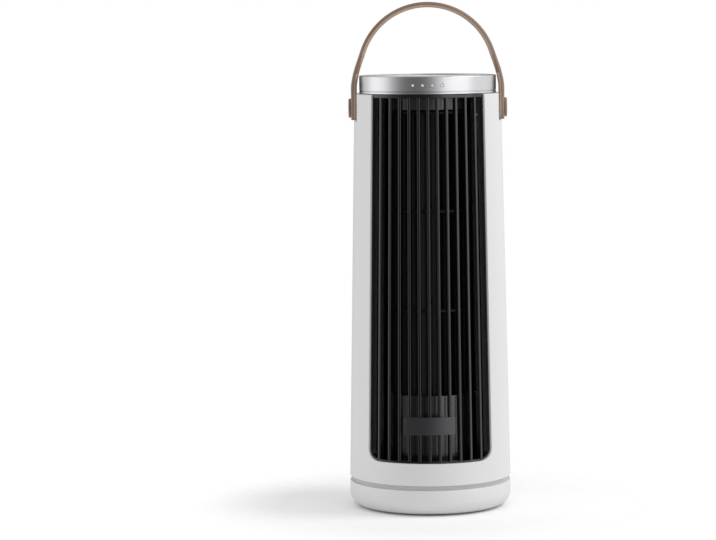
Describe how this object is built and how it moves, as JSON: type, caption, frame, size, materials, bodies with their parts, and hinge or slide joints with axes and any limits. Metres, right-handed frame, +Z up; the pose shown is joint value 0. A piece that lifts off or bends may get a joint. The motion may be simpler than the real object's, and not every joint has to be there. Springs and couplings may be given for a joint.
{
  "type": "mini tower fan",
  "caption": "Mini tower fan: a tapered round housing with an upright slatted outlet turns on a short base, under a silver ring, a docked remote and a swinging carrying strap.",
  "frame": {"origin": "on the tower's axis, on the surface that the fan stands on", "axes": "+Z up along the tower's axis, the slatted air outlet faces -Y, the handle's pivots lie along X"},
  "size_m": [0.125, 0.125, 0.3905],
  "materials": {
    "white_plastic": "satin white moulding",
    "black_plastic": "glossy black moulding",
    "wheel_plastic": "matt black moulding",
    "grey_plastic": "satin grey moulding",
    "natural_plastic": "uncoloured acetal",
    "silver": "satin silver",
    "steel": "bright zinc plated",
    "rubber": "matt black",
    "leather": "smooth brown grain",
    "circuit_board": "green lacquer",
    "clear_plastic": "milky clear",
    "remote_plastic": "satin white moulding"
  },
  "bodies": {
    "base": {"base_shell": "white_plastic", "bottom_plate": "white_plastic", "ballast_plate": "steel", "antislip_pad": "rubber", "dc_inlet": "black_plastic", "glide_ring": "natural_plastic", "sun_gear": "natural_plastic", "spindle_bolt": "steel"},
    "tower": {"tower_floor": "white_plastic", "housing": "white_plastic", "rear_grille": "black_plastic", "front_grille": "black_plastic", "front_plate": "grey_plastic", "top_ring": "silver", "top_deck": "white_plastic", "light_guide": "clear_plastic", "control_board": "circuit_board", "dock_magnet": "steel", "scroll_wall": "black_plastic", "stabiliser_wall": "black_plastic", "motor_cover": "grey_plastic", "fan_motor": "steel", "top_bearing_bracket": "grey_plastic", "top_bearing": "steel", "step_motor": "steel", "main_board": "circuit_board", "pivot_pin_left": "steel", "pivot_pin_right": "steel"},
    "impeller": {"impeller_wheel": "wheel_plastic", "motor_shaft": "steel", "top_axle": "steel"},
    "oscillation_drive": {"oscillation_pinion": "natural_plastic", "step_motor_shaft": "steel"},
    "handle": {"handle_strap": "leather", "handle_cap_left": "leather", "handle_cap_right": "leather"},
    "button": {"power_button": "grey_plastic"},
    "remote": {"remote_upper_shell": "remote_plastic", "remote_lower_shell": "remote_plastic", "remote_battery_lid": "remote_plastic", "remote_coin_cell": "steel", "remote_board": "circuit_board"},
    "key_1": {"remote_key_1": "remote_plastic"},
    "key_2": {"remote_key_2": "remote_plastic"},
    "key_3": {"remote_key_3": "remote_plastic"},
    "key_4": {"remote_key_4": "remote_plastic"},
    "key_5": {"remote_key_5": "remote_plastic"},
    "key_6": {"remote_key_6": "remote_plastic"},
    "key_7": {"remote_key_7": "remote_plastic"},
    "key_8": {"remote_key_8": "remote_plastic"}
  },
  "joints": [
    {"name": "oscillation", "type": "hinge", "parent": "base", "child": "tower", "pos_m": [0, 0, 0.0239], "axis": [0, 0, 1], "range_deg": [-35, 35]},
    {"name": "impeller_spin", "type": "hinge", "parent": "tower", "child": "impeller", "pos_m": [0, 0, 0.09], "axis": [0, 0, 1], "continuous": true},
    {"name": "drive_turn", "type": "hinge", "parent": "tower", "child": "oscillation_drive", "pos_m": [0.01125, 0.01949, 0.03], "axis": [0, 0, 1], "range_deg": [-72, 72]},
    {"name": "handle_swing", "type": "hinge", "parent": "tower", "child": "handle", "pos_m": [0, 0, 0.3093], "axis": [1, 0, 0], "range_deg": [-90, 90]},
    {"name": "button_press", "type": "slide", "parent": "tower", "child": "button", "axis": [0, 0, 1], "range_m": [-0.0008, 0], "stiffness_N_per_m": 400, "springref_m": 0.001},
    {"name": "remote_lift", "type": "slide", "parent": "tower", "child": "remote", "axis": [0, 0, 1], "range_m": [0, 0.03]},
    {"name": "key_1_press", "type": "slide", "parent": "remote", "child": "key_1", "axis": [0, 0, 1], "range_m": [-0.0004, 0], "stiffness_N_per_m": 500, "springref_m": 0.0005},
    {"name": "key_2_press", "type": "slide", "parent": "remote", "child": "key_2", "axis": [0, 0, 1], "range_m": [-0.0004, 0], "stiffness_N_per_m": 500, "springref_m": 0.0005},
    {"name": "key_3_press", "type": "slide", "parent": "remote", "child": "key_3", "axis": [0, 0, 1], "range_m": [-0.0004, 0], "stiffness_N_per_m": 500, "springref_m": 0.0005},
    {"name": "key_4_press", "type": "slide", "parent": "remote", "child": "key_4", "axis": [0, 0, 1], "range_m": [-0.0004, 0], "stiffness_N_per_m": 500, "springref_m": 0.0005},
    {"name": "key_5_press", "type": "slide", "parent": "remote", "child": "key_5", "axis": [0, 0, 1], "range_m": [-0.0004, 0], "stiffness_N_per_m": 500, "springref_m": 0.0005},
    {"name": "key_6_press", "type": "slide", "parent": "remote", "child": "key_6", "axis": [0, 0, 1], "range_m": [-0.0004, 0], "stiffness_N_per_m": 500, "springref_m": 0.0005},
    {"name": "key_7_press", "type": "slide", "parent": "remote", "child": "key_7", "axis": [0, 0, 1], "range_m": [-0.0004, 0], "stiffness_N_per_m": 500, "springref_m": 0.0005},
    {"name": "key_8_press", "type": "slide", "parent": "remote", "child": "key_8", "axis": [0, 0, 1], "range_m": [-0.0004, 0], "stiffness_N_per_m": 500, "springref_m": 0.0005}
  ],
  "couplings": [
    {"joint": "drive_turn", "follows": "oscillation", "ratio": 2}
  ]
}
